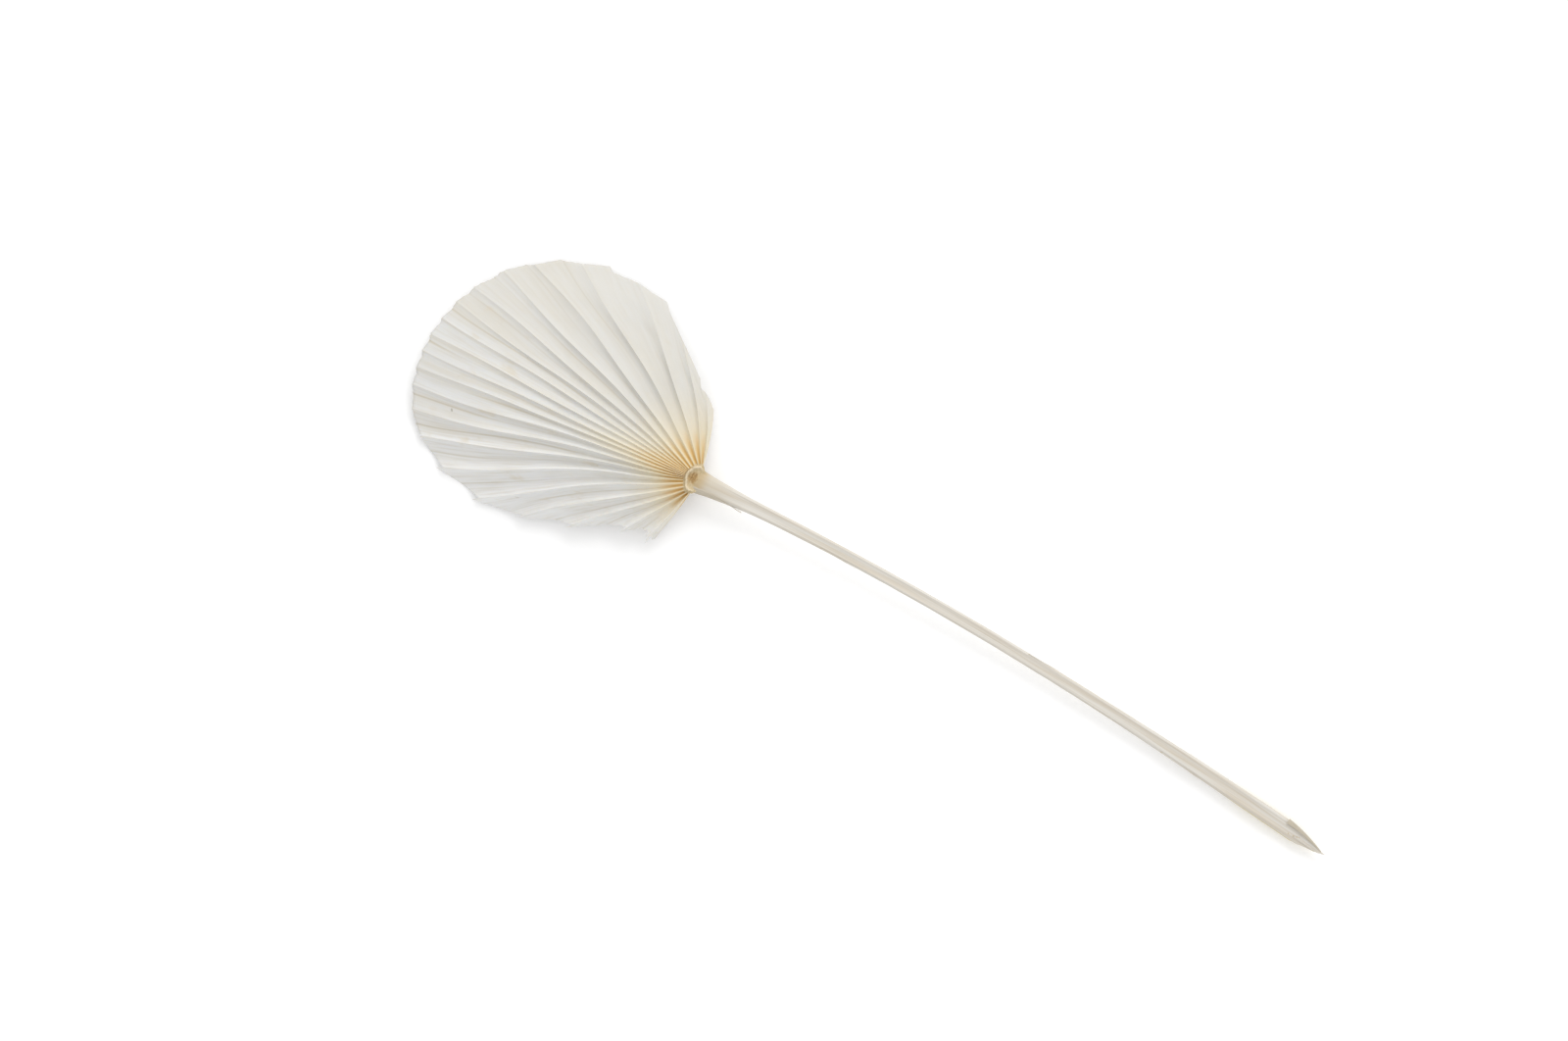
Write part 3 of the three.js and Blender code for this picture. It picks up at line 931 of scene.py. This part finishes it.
# %% Stalk material
def stalk_material():
    material, tree, shader = new_material("bleached_stalk_fibre")
    fibres_uv = add(tree, "ShaderNodeUVMap", {"uv_map": "fibres"}).outputs["UV"]
    streaks = grain(tree, fibres_uv, (34.0, 7.0, 1.0), 4.0)
    broad = grain(tree, fibres_uv, (7.0, 5.0, 1.0), 2.0)
    tone = blend(tree, ramp(tree, broad, 0.4, 0.65), "#D3CFC7", "#CEC6B9")
    tone = blend(tree, times(tree, ramp(tree, streaks, 0.42, 0.75), 0.6), tone, "#BCAF98")
    split = add(tree, "ShaderNodeSeparateXYZ", Vector=fibres_uv)
    beside_hub = ramp(tree, split.outputs["Y"], 0.09, 0.015)
    tone = blend(tree, times(tree, beside_hub, 0.75), tone, "#C2B7A2")
    inside_collar = ramp(tree, split.outputs["Y"], 0.034, 0.018)
    tone = blend(tree, times(tree, inside_collar, 0.8), tone, "#BBA379")
    below = ramp(tree, split.outputs["X"], 0.4, 0.48)
    lower_edge = times(tree, below, ramp(tree, split.outputs["Y"], 0.86, 0.93))
    tone = blend(tree, times(tree, lower_edge, 0.8), tone, "#CDBD8C")
    set_surface(tree, shader, tone, streaks, strength=0.4, depth=0.15, roughness=0.6)
    shader.inputs["Specular IOR Level"].default_value = 0.35
    print(material.name, len(tree.nodes), "nodes")
    return material


stalk_finish = stalk_material()
stalk.data.materials.append(stalk_finish)
fibres.data.materials.append(stalk_finish)

# %% [markdown]
# ### Rind
#
# The rind is the outer skin of the stalk. It weathered to grey-brown and took no bleach.

# %% Rind material
def rind_material():
    material, tree, shader = new_material("weathered_palm_rind")
    fibres_uv = add(tree, "ShaderNodeUVMap", {"uv_map": "fibres"}).outputs["UV"]
    streaks = grain(tree, fibres_uv, (60.0, 6.0, 1.0), 4.0)
    tone = blend(tree, ramp(tree, streaks, 0.35, 0.7), "#C6BDAC", "#B0A591")
    set_surface(tree, shader, tone, streaks, strength=0.5, depth=0.15, roughness=0.7)
    print(material.name, len(tree.nodes), "nodes")
    return material


rind.data.materials.append(rind_material())


# %% [markdown]
# ### Collar fibre
#
# The crest is pale where it was rubbed, and the hollow inside it is rough and ochre, because there
# the cut fibre ends show.

# %% Collar material
def collar_material():
    material, tree, shader = new_material("collar_fibre")
    crest, pith = fact(tree, "crest"), fact(tree, "pith")
    spot = add(tree, "ShaderNodeTexCoord").outputs["Object"]
    fibre_ends = grain(tree, spot, (1300.0, 450.0, 900.0), 4.0)
    tone = blend(tree, ramp(tree, fibre_ends, 0.3, 0.7), "#CBBA97", "#BFAA82")
    tone = blend(tree, ramp(tree, crest, 0.15, 0.7), tone, "#DACBAD")
    tone = blend(tree, ramp(tree, pith, 0.0, 1.0), tone, "#B49564")
    streaks = times(tree, pith, ramp(tree, fibre_ends, 0.48, 0.66))
    tone = blend(tree, streaks, tone, "#8B6A3F")
    set_surface(tree, shader, tone, fibre_ends, strength=0.6, depth=0.3, roughness=0.7)
    print(material.name, len(tree.nodes), "nodes")
    return material


collar.data.materials.append(collar_material())

# %% [markdown]
# ## The table
#
# The leaf lies on a plain, matt white table, which glows faintly so that it stays clean white.

# %% Table
TABLE_HALF = 4.0  # metres
TABLE_GLOW = 0.12
bm = bmesh.new()
bmesh.ops.create_grid(bm, x_segments=1, y_segments=1, size=TABLE_HALF)
table_mesh = bpy.data.meshes.new("table")
bm.to_mesh(table_mesh)
bm.free()
table = bpy.data.objects.new("table", table_mesh)
bpy.context.scene.collection.objects.link(table)
table_finish, _, table_shader = new_material("matt_white_table")
table_shader.inputs["Base Color"].default_value = colour("#F6F6F6")
table_shader.inputs["Roughness"].default_value = 0.9
table_shader.inputs["Emission Color"].default_value = (1, 1, 1, 1)
table_shader.inputs["Emission Strength"].default_value = TABLE_GLOW
table_mesh.materials.append(table_finish)
print("table", 2 * TABLE_HALF, "m wide")

# %% [markdown]
# ## The camera
#
# The camera looks straight down from far enough to see the leaf almost without perspective.

# %% Camera
FRAME_WIDTH_MM = 800.0  # what the picture's width takes in
FOCAL_MM = 100.0
SENSOR_MM = 36.0
LEAF_TURN = 27.0  # degrees by which the leaf's axis falls to the right in the picture
AIM = Vector((50.7, 1.7, 8.0))  # the picture's centre, from the hub

camera_data = bpy.data.cameras.new("camera")
camera_data.lens = FOCAL_MM
camera_data.sensor_width = SENSOR_MM
camera = bpy.data.objects.new("camera", camera_data)
camera_height = FRAME_WIDTH_MM * FOCAL_MM / SENSOR_MM
camera.location = placed(AIM + Vector((0, 0, camera_height)))
camera.rotation_euler = (0, 0, math.radians(LEAF_TURN))
bpy.context.scene.collection.objects.link(camera)
bpy.context.scene.camera = camera
print("camera", round(camera_height), "mm up")

# %% [markdown]
# ## The light
#
# Most of the light comes from all round, as in a light tent. One broad lamp beyond the upper edge
# of the picture gives each pleat a lit and a shaded panel.

# %% Light
LAMP_SIZE = 1.4  # metres
LAMP_POWER = 21.0
LAMP_DISTANCE = 2.2
LAMP_SIDE = 0.25  # how far to the right it stands, for each metre up the picture
LAMP_RISE = 0.75  # and how high
TENT_STRENGTH = 0.91


def area_light(name, size, power, direction, distance):
    """A square lamp at a distance from the leaf, turned towards it."""
    data = bpy.data.lights.new(name, "AREA")
    data.size = size
    data.energy = power
    lamp = bpy.data.objects.new(name, data)
    lamp.location = Vector(direction).normalized() * distance
    lamp.rotation_euler = lamp.location.to_track_quat("Z", "Y").to_euler()
    bpy.context.scene.collection.objects.link(lamp)
    return lamp


picture_up = Vector((-math.sin(math.radians(LEAF_TURN)), math.cos(math.radians(LEAF_TURN)), 0))
picture_right = Vector((picture_up.y, -picture_up.x, 0))
key_from = picture_up + picture_right * LAMP_SIDE + Vector((0, 0, LAMP_RISE))
area_light("window", LAMP_SIZE, LAMP_POWER, key_from, LAMP_DISTANCE)

world = bpy.data.worlds.new("light_tent")
world.use_nodes = True
world.node_tree.nodes["Background"].inputs["Color"].default_value = (1, 1, 1, 1)
world.node_tree.nodes["Background"].inputs["Strength"].default_value = TENT_STRENGTH
bpy.context.scene.world = world
bpy.context.scene.view_settings.view_transform = "Standard"
print("lamp", LAMP_POWER, "W, tent", TENT_STRENGTH)
